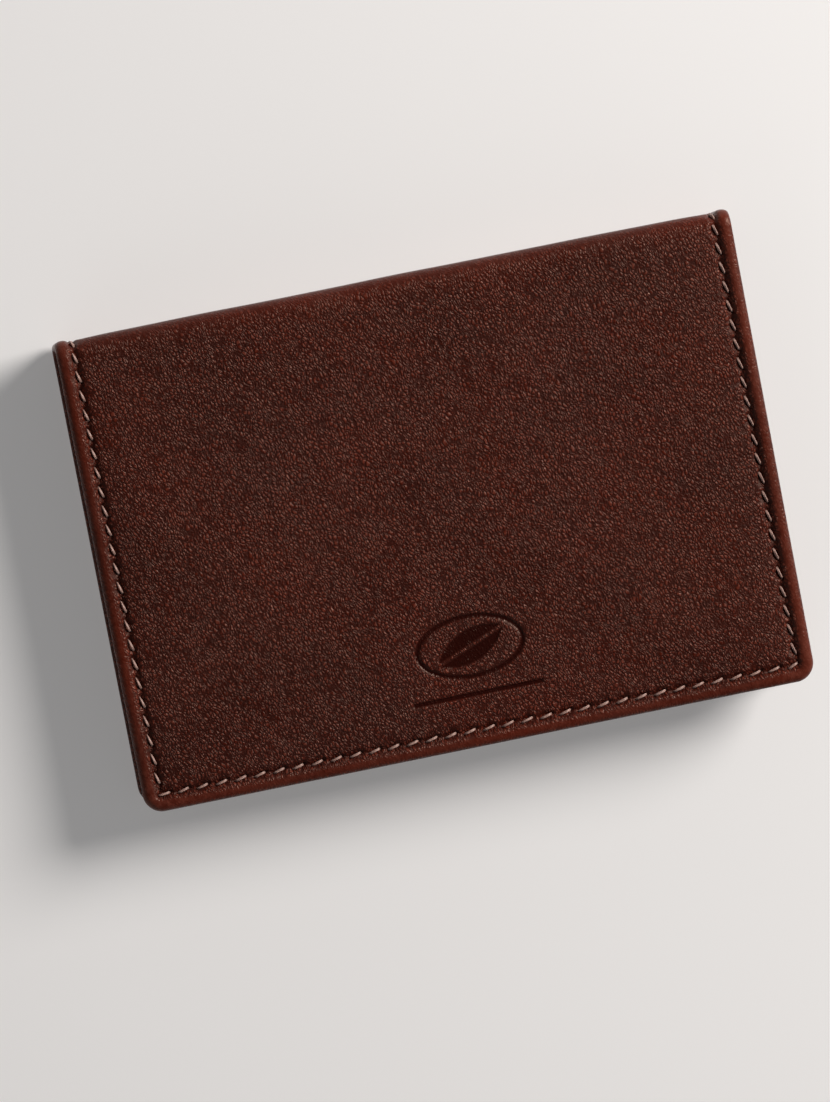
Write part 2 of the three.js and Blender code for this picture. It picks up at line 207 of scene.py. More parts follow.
def sheet_arrays(rails, section, every=3, detail=NOWHERE):
    """Vertices (x, s, depth, inset, station) and faces of a closed sheet.

    section lists (inset, depth) from the rim of the flat middle, out round the edge and back to the hidden
    face. The middle keeps each `every`th station, and all of those inside the detail box.
    """
    spans = rails.spans()
    inner_inset, inner_depth = section[0]
    outer = [rails.rail(inset) for inset, _ in section[1:]]
    stations = len(outer[0])

    def kept(span, axis):
        first, last = span
        line = outer[0][first:last + 1, axis]
        inside = (line > detail[0][axis]) & (line < detail[1][axis])
        index = np.arange(len(line))
        return index[(index % every == 0) | (index == len(line) - 1) | inside]

    left, bottom = kept(spans[0], 1), kept(spans[1], 0)
    left_line = outer[0][spans[0][0]:, 1]
    bottom_line = outer[0][spans[1][0]:, 0]
    x0, s0 = rails.low + inner_inset
    x1, s1 = rails.high - inner_inset
    columns = [x0, *bottom_line[bottom], x1]
    rows = [s0, *left_line[left[::-1]]] + ([s1] if rails.closed else [])
    wide, tall = len(columns), len(rows)
    grid_x, grid_s = np.meshgrid(columns, rows)
    patch = np.stack([
        grid_x.ravel(),
        grid_s.ravel(),
        np.full(grid_x.size, inner_depth),
        np.full(grid_x.size, MIDDLE_INSET),
        np.full(grid_x.size, NO_STATION),
    ], 1)

    left_count = spans[0][1] - spans[0][0]
    bottom_count = spans[1][1] - spans[1][0]
    row_of = [len(left) - int(np.abs(left - j).argmin()) for j in range(left_count + 1)]
    column_of = [1 + int(np.abs(bottom - j).argmin()) for j in range(bottom_count + 1)]
    last_row = (tall - 1) * wide
    corner_cell = [0, wide - 1, last_row + wide - 1, last_row]
    side_cells = (
        [row * wide for row in row_of],
        column_of,
        [row * wide + wide - 1 for row in row_of[::-1]],
        [last_row + column for column in column_of[::-1]],
    )
    inner = np.zeros(stations, int)
    for k, (first, last) in enumerate(spans):
        inner[first:last + 1] = side_cells[k]
        if rails.closed or k + 1 < len(spans):
            inner[last + 1:last + rails.corner_steps] = corner_cell[k]

    vertices, rings = [patch], [inner]
    start = len(patch)
    for (inset, depth), line in zip(section[1:], outer):
        extra = np.column_stack([np.full(stations, depth), np.full(stations, inset), np.arange(stations)])
        vertices.append(np.hstack([line, extra]))
        rings.append(np.arange(start, start + stations))
        start += stations
    faces = []
    for row in range(tall - 1):
        base = row * wide
        faces.extend((base + c, base + c + 1, base + wide + c + 1, base + wide + c) for c in range(wide - 1))
    ends = stations if rails.closed else stations - 1
    for n, (inside, outside) in enumerate(zip(rings, rings[1:])):
        for i in range(ends):
            j = (i + 1) % stations
            if n == 0 and inside[i] == inside[j]:
                faces.append((int(inside[i]), int(outside[i]), int(outside[j])))
            else:
                faces.append((int(inside[i]), int(outside[i]), int(outside[j]), int(inside[j])))
    faces.extend(hidden_faces(rings[-1], spans, rails.closed))
    if not rails.closed:
        left_end = [int(ring[0]) for ring in rings[:0:-1]]
        right_end = [int(ring[-1]) for ring in rings[1:]]
        faces.append(left_end + list(range(last_row, last_row + wide)) + right_end)
    return np.concatenate(vertices), faces


def hidden_faces(ring, spans, closed):
    """Strips from the left side to the right that close the under side, and one face at each end."""
    (first, last), _, (right_first, right_last) = spans[:3]
    count = last - first
    ring = [int(v) for v in ring]
    faces = []
    for i in range(count):
        a, b = first + i, first + i + 1
        c, d = right_first + count - i - 1, right_first + count - i
        faces.append((ring[b], ring[a], ring[d], ring[c]))
    faces.append(ring[last:right_first + 1][::-1])
    if closed:
        faces.append((ring[right_last:] + ring[:1])[::-1])
    return faces


def sweep_arrays(rails, section):
    """Vertices and faces of a closed section that is carried along open rails."""
    lines = [rails.rail(inset) for inset, _ in section]
    stations = len(lines[0])
    count = len(section)
    vertices = []
    for (inset, depth), line in zip(section, lines):
        vertices.append(np.hstack([line, np.full((stations, 1), depth)]))
    faces = []
    for n in range(count):
        a, b = n * stations, (n + 1) % count * stations
        faces.extend((a + i, a + i + 1, b + i + 1, b + i) for i in range(stations - 1))
    faces.append([n * stations for n in range(count)])
    faces.append([n * stations + stations - 1 for n in range(count)][::-1])
    return np.concatenate(vertices), faces


def add_mesh(name, vertices, faces, hide, wear=None, pressed=None, sharp=42):
    """A piece from vertices in millimetres, with the attributes that its material reads."""
    mesh = bpy.data.meshes.new(name)
    mesh.from_pydata((np.asarray(vertices) * MM).tolist(), [], faces)
    count = len(vertices)
    finish = np.zeros((count, 3), np.float32)
    if wear is not None:
        finish[:, 0] = wear
    if pressed is not None:
        finish[:, 1] = pressed
    for key, values in (("hide_mm", np.asarray(hide, np.float32)), ("finish", finish)):
        mesh.attributes.new(key, "FLOAT_VECTOR", "POINT").data.foreach_set("vector", values.ravel())
    work = bmesh.new()
    work.from_mesh(mesh)
    bmesh.ops.recalc_face_normals(work, faces=work.faces)
    work.to_mesh(mesh)
    work.free()
    mesh.polygons.foreach_set("use_smooth", np.ones(len(mesh.polygons), bool))
    mesh.set_sharp_from_angle(angle=math.radians(sharp))
    piece = bpy.data.objects.new(name, mesh)
    bpy.context.collection.objects.link(piece)
    return piece


def dress(piece, material, nodes):
    piece.data.materials.append(material)
    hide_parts(*nodes)
    return piece


def across_fold(piece, side):
    """Bakes the piece's placement into its mesh, the same way for either side."""
    if side == FRONT:
        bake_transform(piece)
    else:
        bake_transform(piece)


# ---- Stitches ----


class Seam:
    """A stitched line: where each stitch lies, and which way it slants."""

    def __init__(self, line, slant):
        self.line = line
        steps = np.linalg.norm(np.diff(line, axis=0), axis=1)
        self.travel = np.concatenate([[0], np.cumsum(steps)])
        count = max(1, round(self.travel[-1] / STITCH_PITCH))
        self.pitch = self.travel[-1] / count
        self.places = (np.arange(count) + 0.5) * self.pitch
        self.turn = np.array([[math.cos(slant), -math.sin(slant)], [math.sin(slant), math.cos(slant)]])

    def at(self, place):
        place = min(max(place, 0), self.travel[-1])
        return np.array([np.interp(place, self.travel, self.line[:, axis]) for axis in (0, 1)])

    def stitches(self):
        """Middle and slanted direction of each stitch."""
        out = []
        for place in self.places:
            ahead = self.at(place + 0.6) - self.at(place - 0.6)
            out.append((self.at(place), self.turn @ (ahead / np.linalg.norm(ahead))))
        return out

    def holes(self):
        """Needle holes, where the ends of the stitches go down."""
        reach = STITCH_LENGTH / 2 - 0.1
        return [middle + way * end * reach for middle, way in self.stitches() for end in (-1, 1)]

    def phase(self):
        """1 at the middle of a stitch and -1 half way to the next, at each point of the line."""
        return np.cos(2 * math.pi * (self.travel / self.pitch - 0.5))


def hole_depth(points, holes, radius, deep):
    """How far the needle holes pull each point in."""
    sunk = np.zeros(len(points))
    order = np.argsort(points[:, 0])
    sorted_x = points[order, 0]
    for hole in holes:
        first, last = np.searchsorted(sorted_x, [hole[0] - 1, hole[0] + 1])
        near = order[first:last]
        distance = np.hypot(points[near, 0] - hole[0], points[near, 1] - hole[1])
        sunk[near] = np.maximum(sunk[near], deep * bell(distance, 0, radius))
    return sunk


AROUND = 18  # points round a stitch
ALONG = 15  # rings from one end of it to the other
STITCH_SHARP = 70  # degrees
STITCH_DIP = 0.55  # how much deeper its ends lie than its middle


def stitch_arrays(stitches, level, inwards, sink=0.0):
    """Twisted three-ply stitches that rise from one needle hole and go down the next.

    level(s) is the depth of the surface that they lie on. inwards is 1 where depth grows away from the
    side that shows the stitches, and -1 on the inside of the card holder.
    """
    turn = np.linspace(0, 2 * math.pi, AROUND, endpoint=False)
    vertices, faces = [], []
    for middle, way in stitches:
        across = np.array([-way[1], way[0]])
        start = len(vertices)
        for run in np.linspace(-1, 1, ALONG):
            thick = STITCH_RADIUS * (1 - 0.3 * abs(run) ** 5)
            centre = middle + way * run * STITCH_LENGTH / 2
            low = sink + STITCH_DIP * abs(run) ** 3
            for angle in turn:
                ply = thick * (1 + 0.17 * math.cos(3 * angle - 3.0 * run))
                x, s = centre + across * ply * math.cos(angle)
                vertices.append((x, s, level(s) + inwards * (low - ply * math.sin(angle))))
        for i in range(ALONG - 1):
            for j in range(AROUND):
                a, b = start + i * AROUND + j, start + i * AROUND + (j + 1) % AROUND
                faces.append((a, b, b + AROUND, a + AROUND))
        last = start + (ALONG - 1) * AROUND
        faces.append([start + j for j in reversed(range(AROUND))])
        faces.append([last + j for j in range(AROUND)])
    return np.array(vertices), faces


def add_stitches(name, stitches, side, level, inwards, nodes, sink=0.0):
    vertices, faces = stitch_arrays(stitches, level, inwards, sink)
    piece = add_mesh(name, bend(vertices, side), faces, on_hide(vertices, side), sharp=STITCH_SHARP)
    return dress(piece, THREAD, nodes)


# ---- Materials ----


class Nodes:
    """Short calls for one material's node tree."""

    def __init__(self, name):
        self.material = bpy.data.materials.new(name)
        self.material.use_nodes = True
        self.tree = self.material.node_tree
        self.shader = self.tree.nodes["Principled BSDF"]

    def add(self, kind, inputs=(), **settings):
        node = self.tree.nodes.new(kind)
        for key, value in settings.items():
            setattr(node, key, value)
        for key, value in dict(inputs).items():
            self.put(node.inputs[key], value)
        return node

    def put(self, socket, value):
        if isinstance(value, bpy.types.NodeSocket):
            self.tree.links.new(value, socket)
        else:
            socket.default_value = value

    def math(self, operation, a, b=0.0, c=0.0):
        node = self.add("ShaderNodeMath", operation=operation)
        for socket, value in zip(node.inputs, (a, b, c)):
            self.put(socket, value)
        return node.outputs[0]

    def mix(self, factor, a, b):
        node = self.add("ShaderNodeMix", data_type="RGBA")
        for socket, value in zip((node.inputs[0], node.inputs[6], node.inputs[7]), (factor, a, b)):
            self.put(socket, value)
        return node.outputs[2]

    def ramp(self, value, low, high, to_low=0.0, to_high=1.0):
        inputs = {"Value": value, "From Min": low, "From Max": high, "To Min": to_low, "To Max": to_high}
        return self.add("ShaderNodeMapRange", inputs, interpolation_type="SMOOTHSTEP").outputs[0]

    def attribute(self, key):
        return self.add("ShaderNodeAttribute", attribute_name=key).outputs["Vector"]

    def parts(self, vector):
        return self.add("ShaderNodeSeparateXYZ", {"Vector": vector}).outputs

    def placed(self, vector, sizes, turn=0.0):
        """The vector along axes turned about Z, in units of the given sizes."""
        inputs = {"Vector": vector, "Rotation": (0, 0, turn), "Scale": sizes}
        return self.add("ShaderNodeMapping", inputs, vector_type="TEXTURE").outputs[0]

    def noise(self, vector, scale, detail=3.0, rough=0.5, colour=False):
        inputs = {"Vector": vector, "Scale": scale, "Detail": detail, "Roughness": rough}
        return self.add("ShaderNodeTexNoise", inputs).outputs["Color" if colour else "Fac"]

    def moved(self, vector, offset, amount):
        """The vector, pushed by up to half the amount in each direction by a noise colour."""
        centred = self.add("ShaderNodeVectorMath", {0: offset, 1: (0.5, 0.5, 0.5)}, operation="SUBTRACT")
        scaled = self.add("ShaderNodeVectorMath", {0: centred.outputs[0], "Scale": amount}, operation="SCALE")
        return self.add("ShaderNodeVectorMath", {0: vector, 1: scaled.outputs[0]}, operation="ADD").outputs[0]

    def voronoi(self, vector, scale, feature, randomness=1.0):
        inputs = {"Vector": vector, "Scale": scale, "Randomness": randomness}
        return self.add("ShaderNodeTexVoronoi", inputs, feature=feature).outputs[0]

    def bump(self, height, distance, strength=1.0):
        inputs = {"Height": height, "Distance": distance, "Strength": strength}
        self.put(self.shader.inputs["Normal"], self.add("ShaderNodeBump", inputs).outputs[0])

    def set(self, **values):
        for key, value in values.items():
            self.put(self.shader.inputs[key.replace("_", " ")], value)
        return self.material


WARM_GLOSS = (1, 0.72, 0.58, 1)
DULL_PATCH = (0.082, 0.019, 0.012, 1)
WEAVE = 0.62  # millimetres from one thread of the lining to the next


def leather(name, dark_and_shade_tone, body, highlight_and_rub_tone, grain_mm, grain_height, fold_fade=True):
    """Pebbled hide: stretched cells with soft creases between them, mottled and rubbed at the edges, with
    painted shade in the creases and a painted highlight on the pebble tops.
    """
    n = Nodes(name)
    hide = n.attribute("hide_mm")
    finish = n.parts(n.attribute("finish"))
    flat = n.placed(hide, (1, 1, 2.5))
    cells = n.moved(flat, n.noise(flat, 2.2, 2.0, colour=True), 0.42)
    cells = n.moved(cells, n.noise(flat, 0.3, 2.0, colour=True), 1.6)
    cells = n.placed(cells, (grain_mm, grain_mm * 1.65, 1.0), GRAIN_TURN)
    edge = n.voronoi(cells, 1.0, "DISTANCE_TO_EDGE", 0.9)
    crease = n.ramp(edge, 0.0, 0.26)
    pebble = n.ramp(n.voronoi(cells, 1.0, "F1", 0.9), 0.08, 0.72, 1.0, 0.0)
    fine = n.noise(flat, 5.5, 3.0, 0.62)
    slow = n.noise(flat, 0.045, 3.0, 0.5)
    patches = n.noise(flat, 0.5, 3.0, 0.6)

    amount = n.ramp(finish["Y"], 0.0, 1.0, 1.0, 0.3)
    amount = n.math("MULTIPLY", amount, n.ramp(patches, 0.25, 0.7, 0.88, 1.08))
    amount = n.math("MULTIPLY", amount, n.ramp(finish["X"], 0.1, 0.7, 1.0, 0.2))
    if fold_fade:
        along = n.math("ABSOLUTE", n.math("SUBTRACT", n.parts(hide)["Y"], REACH))
        past_fold = n.ramp(along, REACH - FLAT - ARC, REACH - FLAT + 3, 0.4, 1.0)
        amount = n.math("MULTIPLY", amount, past_fold)
    relief = n.math("ADD", n.math("MULTIPLY", pebble, 0.6), n.math("MULTIPLY", crease, 0.4))
    relief = n.math("ADD", relief, n.math("MULTIPLY", n.math("SUBTRACT", fine, 0.5), 0.3))
    n.bump(n.math("MULTIPLY", relief, amount), grain_height * MM)

    tone = n.mix(n.ramp(slow, 0.35, 0.65, 0.0, 0.7), body, n.mix(0.5, body, dark_and_shade_tone))
    tone = n.mix(n.ramp(n.noise(flat, 0.07, 2.0), 0.38, 0.62, 0.0, 0.4), tone, DULL_PATCH)
    # painted highlight: the pebble tops are lightened towards the light tone
    tone = n.mix(n.math("MULTIPLY", n.ramp(relief, 0.55, 1.0, 0.0, 0.34), amount), tone, highlight_and_rub_tone)
    shaded_hollow = n.math("MULTIPLY", n.math("SUBTRACT", 1.0, crease), amount)
    # painted shade: the creases between the pebbles are darkened
    tone = n.mix(n.math("MULTIPLY", shaded_hollow, 0.76), tone, dark_and_shade_tone)
    rubbed = n.math("MULTIPLY", finish["X"], n.ramp(n.noise(flat, 1.1, 4.0, 0.65), 0.35, 0.65, 0.15, 0.85))
    # rubbed edges are worn lighter, in the same light tone as the painted highlight
    tone = n.mix(n.math("MULTIPLY", rubbed, 0.3), tone, highlight_and_rub_tone)
    tone = n.mix(n.math("MULTIPLY", finish["Y"], 0.85), tone, dark_and_shade_tone)
    rough = n.math("ADD", n.ramp(fine, 0.25, 0.75, 0.21, 0.3), n.math("MULTIPLY", shaded_hollow, 0.25))
    return n.set(Base_Color=tone, Roughness=rough, Specular_IOR_Level=0.24, Specular_Tint=WARM_GLOSS)


def thread_material():
    n = Nodes("waxed_thread")
    hide = n.attribute("hide_mm")
    fibre = n.noise(n.placed(hide, (0.16, 0.16, 0.16)), 1.6, 4.0, 0.7)
    slow = n.noise(hide, 0.5, 2.0)
    tone = n.mix(n.ramp(fibre, 0.3, 0.7), (0.12, 0.05, 0.038, 1), (0.66, 0.41, 0.33, 1))
    tone = n.mix(n.math("MULTIPLY", slow, 0.35), tone, (0.12, 0.045, 0.035, 1))
    n.bump(fibre, 0.05 * MM)
    return n.set(Base_Color=tone, Roughness=n.ramp(fibre, 0.3, 0.7, 0.3, 0.46), Sheen_Weight=0.25)


def lining_material():
    """Ribbed brown cloth, with the odd thicker thread."""
    n = Nodes("lining_weave")
    hide = n.attribute("hide_mm")
    axes = n.parts(n.moved(hide, n.noise(hide, 0.5, 2.0, colour=True), 0.18))
    ribs = n.math("SINE", n.math("MULTIPLY", axes["Y"], 2 * math.pi / WEAVE))
    step = n.math("MULTIPLY", n.math("SIGN", ribs), math.pi / 2)
    cross = n.math("SINE", n.math("ADD", n.math("MULTIPLY", axes["X"], 2 * math.pi / WEAVE), step))
    height = n.math("ADD", n.math("MULTIPLY", n.math("ABSOLUTE", ribs), 0.6), n.math("MULTIPLY", cross, 0.25))
    slub = n.noise(n.placed(hide, (2.6, 0.45, 1.0)), 1.0, 3.0, 0.6)
    height = n.math("ADD", height, n.math("MULTIPLY", slub, 0.35))
    # painted shade: the cloth is darker where the weave lies low, between the ribs and threads
    tone = n.mix(n.ramp(height, 0.05, 0.95), (0.007, 0.0022, 0.0014, 1), (0.07, 0.024, 0.015, 1))
    tone = n.mix(n.ramp(slub, 0.4, 0.75, 0.0, 0.3), tone, (0.1, 0.04, 0.026, 1))
    n.bump(height, 0.09 * MM)
    rough = n.ramp(slub, 0.3, 0.7, 0.7, 0.88)
    return n.set(Base_Color=tone, Roughness=rough, Specular_IOR_Level=0.1, Specular_Tint=WARM_GLOSS)


def board_material():
    n = Nodes("grey_board")
    place = n.add("ShaderNodeTexCoord").outputs["Object"]
    pulp = n.noise(place, 900.0, 5.0, 0.7)
    flecks = n.noise(n.placed(place, (1, 0.33, 1)), 2600.0, 2.0)
    tone = n.mix(pulp, (0.19, 0.17, 0.14, 1), (0.33, 0.31, 0.27, 1))
    tone = n.mix(n.ramp(flecks, 0.6, 0.7), tone, (0.12, 0.1, 0.08, 1))
    n.bump(pulp, 0.05 * MM)
    return n.set(Base_Color=tone, Roughness=n.ramp(pulp, 0.3, 0.7, 0.85, 0.97))


def floor_material():
    n = Nodes("pale_floor")
    place = n.add("ShaderNodeTexCoord").outputs["Object"]
    cloud = n.noise(place, 3.0, 3.0)
    tone = n.mix(cloud, (0.72, 0.7, 0.69, 1), (0.76, 0.745, 0.735, 1))
    n.set(Emission_Color=(0.97, 0.95, 0.94, 1), Emission_Strength=0.2)
    return n.set(Base_Color=tone, Roughness=n.ramp(cloud, 0.3, 0.7, 0.6, 0.7))


GRAIN_TURN = math.radians(18)
OUTER = leather(
    "outer_leather", dark_and_shade_tone=(0.012, 0.0012, 0.0008, 1), body=(0.092, 0.012, 0.0052, 1),
    highlight_and_rub_tone=(0.24, 0.07, 0.045, 1), grain_mm=0.41, grain_height=0.115,
)
INNER = leather(
    "inner_leather", dark_and_shade_tone=(0.018, 0.003, 0.002, 1), body=(0.068, 0.0125, 0.007, 1),
    highlight_and_rub_tone=(0.13, 0.042, 0.028, 1), grain_mm=0.38, grain_height=0.06, fold_fade=False,
)
LINING = lining_material()
THREAD = thread_material()
BOARD = board_material()
for node in ("back_cover_board", "front_cover_board"):
    for material_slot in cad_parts[node].material_slots:
        material_slot.material = BOARD

# ---- Outer leather, one half per cover ----
ROLL = 1.2  # width of the rounded edge
ROLL_PROUD = 0.12
GROOVE_DEPTH = 0.34
GROOVE_WIDTH = 0.55
PILLOW = 0.28
PILLOW_RUN = 2.6
RIPPLE = 0.12
HOLE_RADIUS = 0.26
HOLE_DEPTH = 0.34
DEEPEST = 0.72  # the needle holes stop short of the leather's inner face
SPINE_TRAY = SPINE_LINING_OUTER + 0.1  # the turned edge is flatter here, and still hides the boards' ends
TURN_IN = 0.4
THINNING = 6.0  # length before the fold over which the layers go down to the spine's level
EMBLEM = (0.9, 15.6)
EMBLEM_BOX = ((EMBLEM[0] - 12, EMBLEM[1] - 9), (EMBLEM[0] + 12, EMBLEM[1] + 6))
EMBLEM_DEPTH = 0.24


def cover_section():
    """From the flat face over the stitch groove, round the rolled edge, and under to the turned-in edge."""
    section = [(inset, 0.0) for inset in np.arange(PATCH_INSET, ROLL + 0.1, -0.17)]
    for step in range(15):
        angle = math.pi * step / 14
        section.append((ROLL * (1 - math.sin(angle)), TRAY / 2 * (1 - math.cos(angle))))
    under = TRAY - TURN_IN
    section += [(2.4, TRAY), (3.9, TRAY), (3.92, under), (LEATHER + 0.1, under), (LEATHER + 0.05, LEATHER)]
    return section


def relief(x, s):
    """Slow unevenness of a cover that has been carried about."""
    waves = (
        (0.050, 0.071, 0.043, 0.4),
        (0.040, -0.052, 0.095, 2.1),
        (0.022, 0.190, 0.121, 1.2),
        (0.016, -0.230, 0.170, 3.9),
        (0.010, 0.410, -0.370, 0.7),
    )
    return sum(height * np.sin(kx * x + ks * s + start) for height, kx, ks, start in waves)


def emblem_distance(x, s):
    """Distance to a plain emblem: an oval ring round a leaf with a midrib, over a bar."""
    x, s = x - EMBLEM[0], s - EMBLEM[1]
    half_wide, half_tall = 8.2, 4.6

    def oval(a, b):
        stretched = np.hypot(x / a, s / b)
        slope = np.hypot(x / a**2, s / b**2) + 1e-9
        return stretched * (stretched - 1) / slope

    ring = np.abs(oval(half_wide, half_tall)) - 0.36
    turn = math.radians(22)
    along = x * math.cos(turn) + s * math.sin(turn)
    across = -x * math.sin(turn) + s * math.cos(turn)
    length, width = 5.9, 2.5
    radius = (length**2 + width**2) / (2 * width)
    leaf = np.hypot(along, np.abs(across) + radius - width) - radius
    leaf = np.maximum(leaf, 0.26 - np.abs(across))
    bar = np.maximum(np.abs(x) - 10.2, np.abs(s + 7.4) - 0.34)
    return np.minimum(np.minimum(ring, leaf), bar)


def outer_half(name, side, nodes):
    low, high = (-HALF_WIDTH, 0), (HALF_WIDTH, REACH)
    rails = Rails(low, high, [CORNER_RADIUS] * 4, 0.2)
    vertices, faces = sheet_arrays(rails, cover_section(), 3, EMBLEM_BOX if side == FRONT else NOWHERE)
    x, s, depth, inset, station = vertices.T
    outer_face = depth < 0.01
    outer_side = depth < 0.5
    middle = inset == MIDDLE_INSET
    shown = np.clip(1 - depth / TRAY, 0, 1)
    seam = Seam(rails.rail(SEAM_INSET), STITCH_SLANT * side)
    phase = np.where(station < 0, 0, seam.phase()[station.astype(int)])

    top = smooth(shown, 0.45, 0.8)
    depth = depth * (1 - smooth(s, FLAT - THINNING, FLAT) * (1 - SPINE_TRAY / TRAY))
    depth = depth - ROLL_PROUD * top * (1 - smooth(inset, 1.7, SEAM_INSET))
    depth += GROOVE_DEPTH * bell(inset, SEAM_INSET, GROOVE_WIDTH) * outer_side
    sides = np.stack([HALF_WIDTH - np.abs(x), s]).clip(1e-3)
    from_edge = np.where(middle, (sides**-4.0).sum(0) ** -0.25, inset)
    pillow = np.exp(-np.maximum(from_edge - SEAM_INSET, 0) / PILLOW_RUN)
    depth += PILLOW * pillow * smooth(from_edge, 1.2, SEAM_INSET) * top
    depth += RIPPLE * phase * top * bell(inset, SEAM_INSET + 0.25, 0.95)
    depth += hole_depth(vertices, seam.holes(), HOLE_RADIUS, HOLE_DEPTH) * outer_face
    depth += relief(x, s if side == FRONT else 2 * REACH - s) * shown
    pressed = np.zeros(len(x))
    if side == FRONT:
        pressed = smooth(-emblem_distance(x, s), -0.14, 0.14) * middle
        depth += EMBLEM_DEPTH * pressed
    wear = shown * bell(inset, 0.9, 0.9)
    near_corner = np.hypot(np.abs(x) - HALF_WIDTH, s) / 6
    wear = np.clip(wear * (0.7 + np.exp(-near_corner**2)), 0, 1)

    depth = np.where(outer_side, np.minimum(depth, DEEPEST), depth)
    if side == BACK:  # pressed flat where it rests
        depth += np.maximum(-depth, 0) * (1 - smooth(s, FLAT, FLAT + ARC))
    placed = np.stack([x, s, depth], 1)
    piece = add_mesh(name, bend(placed, side), faces, on_hide(vertices, side), wear, pressed)
    dress(piece, OUTER, nodes)
    across_fold(piece, side)
    return seam


front_seam = outer_half("front_leather", FRONT, ("front_cover_leather", "spine_leather"))
back_seam = outer_half("back_leather", BACK, ("back_cover_leather",))

# ---- Outer stitches ----
OUTER_LEVEL = 0.3
spine_stitches = []
for cover, side, seam in (("front", FRONT, front_seam), ("back", BACK, back_seam)):
    stitches = seam.stitches()
    on_cover = [stitch for stitch in stitches if stitch[0][1] < FLAT + ARC]
    spine_stitches += [(side, stitch) for stitch in stitches if stitch[0][1] >= FLAT + ARC]
    piece = add_stitches(
        f"{cover}_outer_stitches", on_cover, side, lambda s: OUTER_LEVEL, 1, (f"{cover}_outer_thread",)
    )
    across_fold(piece, side)

for hand, sign in (("left", -1), ("right", 1)):
    vertices, faces, hides = [], [], []
    for side, stitch in spine_stitches:
        if stitch[0][0] * sign > 0:
            points, more = stitch_arrays([stitch], lambda s: OUTER_LEVEL, 1)
            faces += [[v + sum(map(len, vertices)) for v in face] for face in more]
            vertices.append(bend(points, side))
            hides.append(on_hide(points, side))
    piece = add_mesh(
        f"spine_{hand}_stitches", np.concatenate(vertices), faces, np.concatenate(hides), sharp=STITCH_SHARP
    )
    dress(piece, THREAD, (f"spine_{hand}_thread",))
    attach(piece, "spine")

# ---- Linings, one half per cover ----


def lining_rise(s):
    """How much nearer to the outer face the lining's inner face comes at the spine."""
    return (LINING_INNER - SPINE_LINING_INNER) * smooth(s, FLAT - THINNING, FLAT)


def lining_half(name, side, nodes):
    low, high = (LINING_INSET - HALF_WIDTH, LINING_INSET), (HALF_WIDTH - LINING_INSET, REACH)
    rails = Rails(low, high, [CORNER_RADIUS - LINING_INSET] * 4, 0.4)
    thick = LINING_INNER - LINING_OUTER
    groove = SEAM_INSET - LINING_INSET
    insets = (PATCH_INSET, 3.4, 2.6, 2.1, 1.8, 1.6, groove, 1.3, 1.1, 0.8, 0.3, 0.1)
    section = [(inset, LINING_INNER) for inset in insets]
    section += [(0.0, LINING_INNER - 0.1), (0.0, LINING_OUTER + 0.1), (0.1, LINING_OUTER)]
    vertices, faces = sheet_arrays(rails, section, 2)
    x, s, depth, inset, _ = vertices.T
    inner = smooth((depth - LINING_OUTER) / thick)
    seam = Seam(rails.rail(groove), STITCH_SLANT * side)
    sunk = 0.12 * bell(inset, groove, 0.3) * inner
    placed = np.stack([x, s, depth - lining_rise(s) - sunk], 1)
    piece = add_mesh(name, bend(placed, side), faces, on_hide(vertices, side))
    dress(piece, LINING, nodes)
    across_fold(piece, side)
    return seam


front_inner = lining_half("front_lining", FRONT, ("front_cover_lining", "spine_lining"))
back_inner = lining_half("back_lining", BACK, ("back_cover_lining",))

# ---- Spine stiffener, which leans with the leather ----


def spine_stiffener():
    low, high = node_box("spine_board")
    half, outer, inner = high[0] - 0.5, SPINE_FACE - high[1], SPINE_FACE - low[1]
    start = FLAT + ARC + 0.1
    loop = [(-half, outer), (half, outer), (half, inner), (0.0, inner + 0.01), (-half, inner)]
    vertices, faces = [], []
    for side, places in ((FRONT, np.linspace(start, REACH, 5)), (BACK, np.linspace(REACH, start, 5)[1:])):
        for s in places:
            vertices.append(bend(np.array([(x, s, depth) for x, depth in loop]), side))
    count, rows = len(loop), len(vertices)
    for row in range(rows - 1):
        for i in range(count):
            a, b = row * count + i, row * count + (i + 1) % count
            faces.append((a, b, b + count, a + count))
    faces.append(list(range(count))[::-1])
    faces.append([(rows - 1) * count + i for i in range(count)])
    points = np.concatenate(vertices)
    piece = add_mesh("spine_stiffener", points, faces, points)
    dress(piece, BOARD, ("spine_board",))
    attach(piece, "spine")


spine_stiffener()

# ---- Layers with a mouth: card slots and the pocket panel ----
MOUTH_STITCH_END = 4.5
INNER_RADIUS = 1.8  # outline's corners at the free edge


def notch_drop(x, s, mouth):
    """How far the thumb notch lowers a point that would lie at s below a straight mouth."""
    below = mouth - s
    radius = NOTCH_RADIUS + np.maximum(below, 0)
    half = np.sqrt(np.maximum(radius**2 - x**2, 0))
    gap = half - (NOTCH_RADIUS - NOTCH_DEPTH) - below
    gap = np.where(radius > np.abs(x), gap, -10)
    drop = (gap + np.sqrt(gap**2 + 0.6)) / 2 - 0.015
    return np.maximum(drop, 0) * (1 - smooth(below, 7, 30))


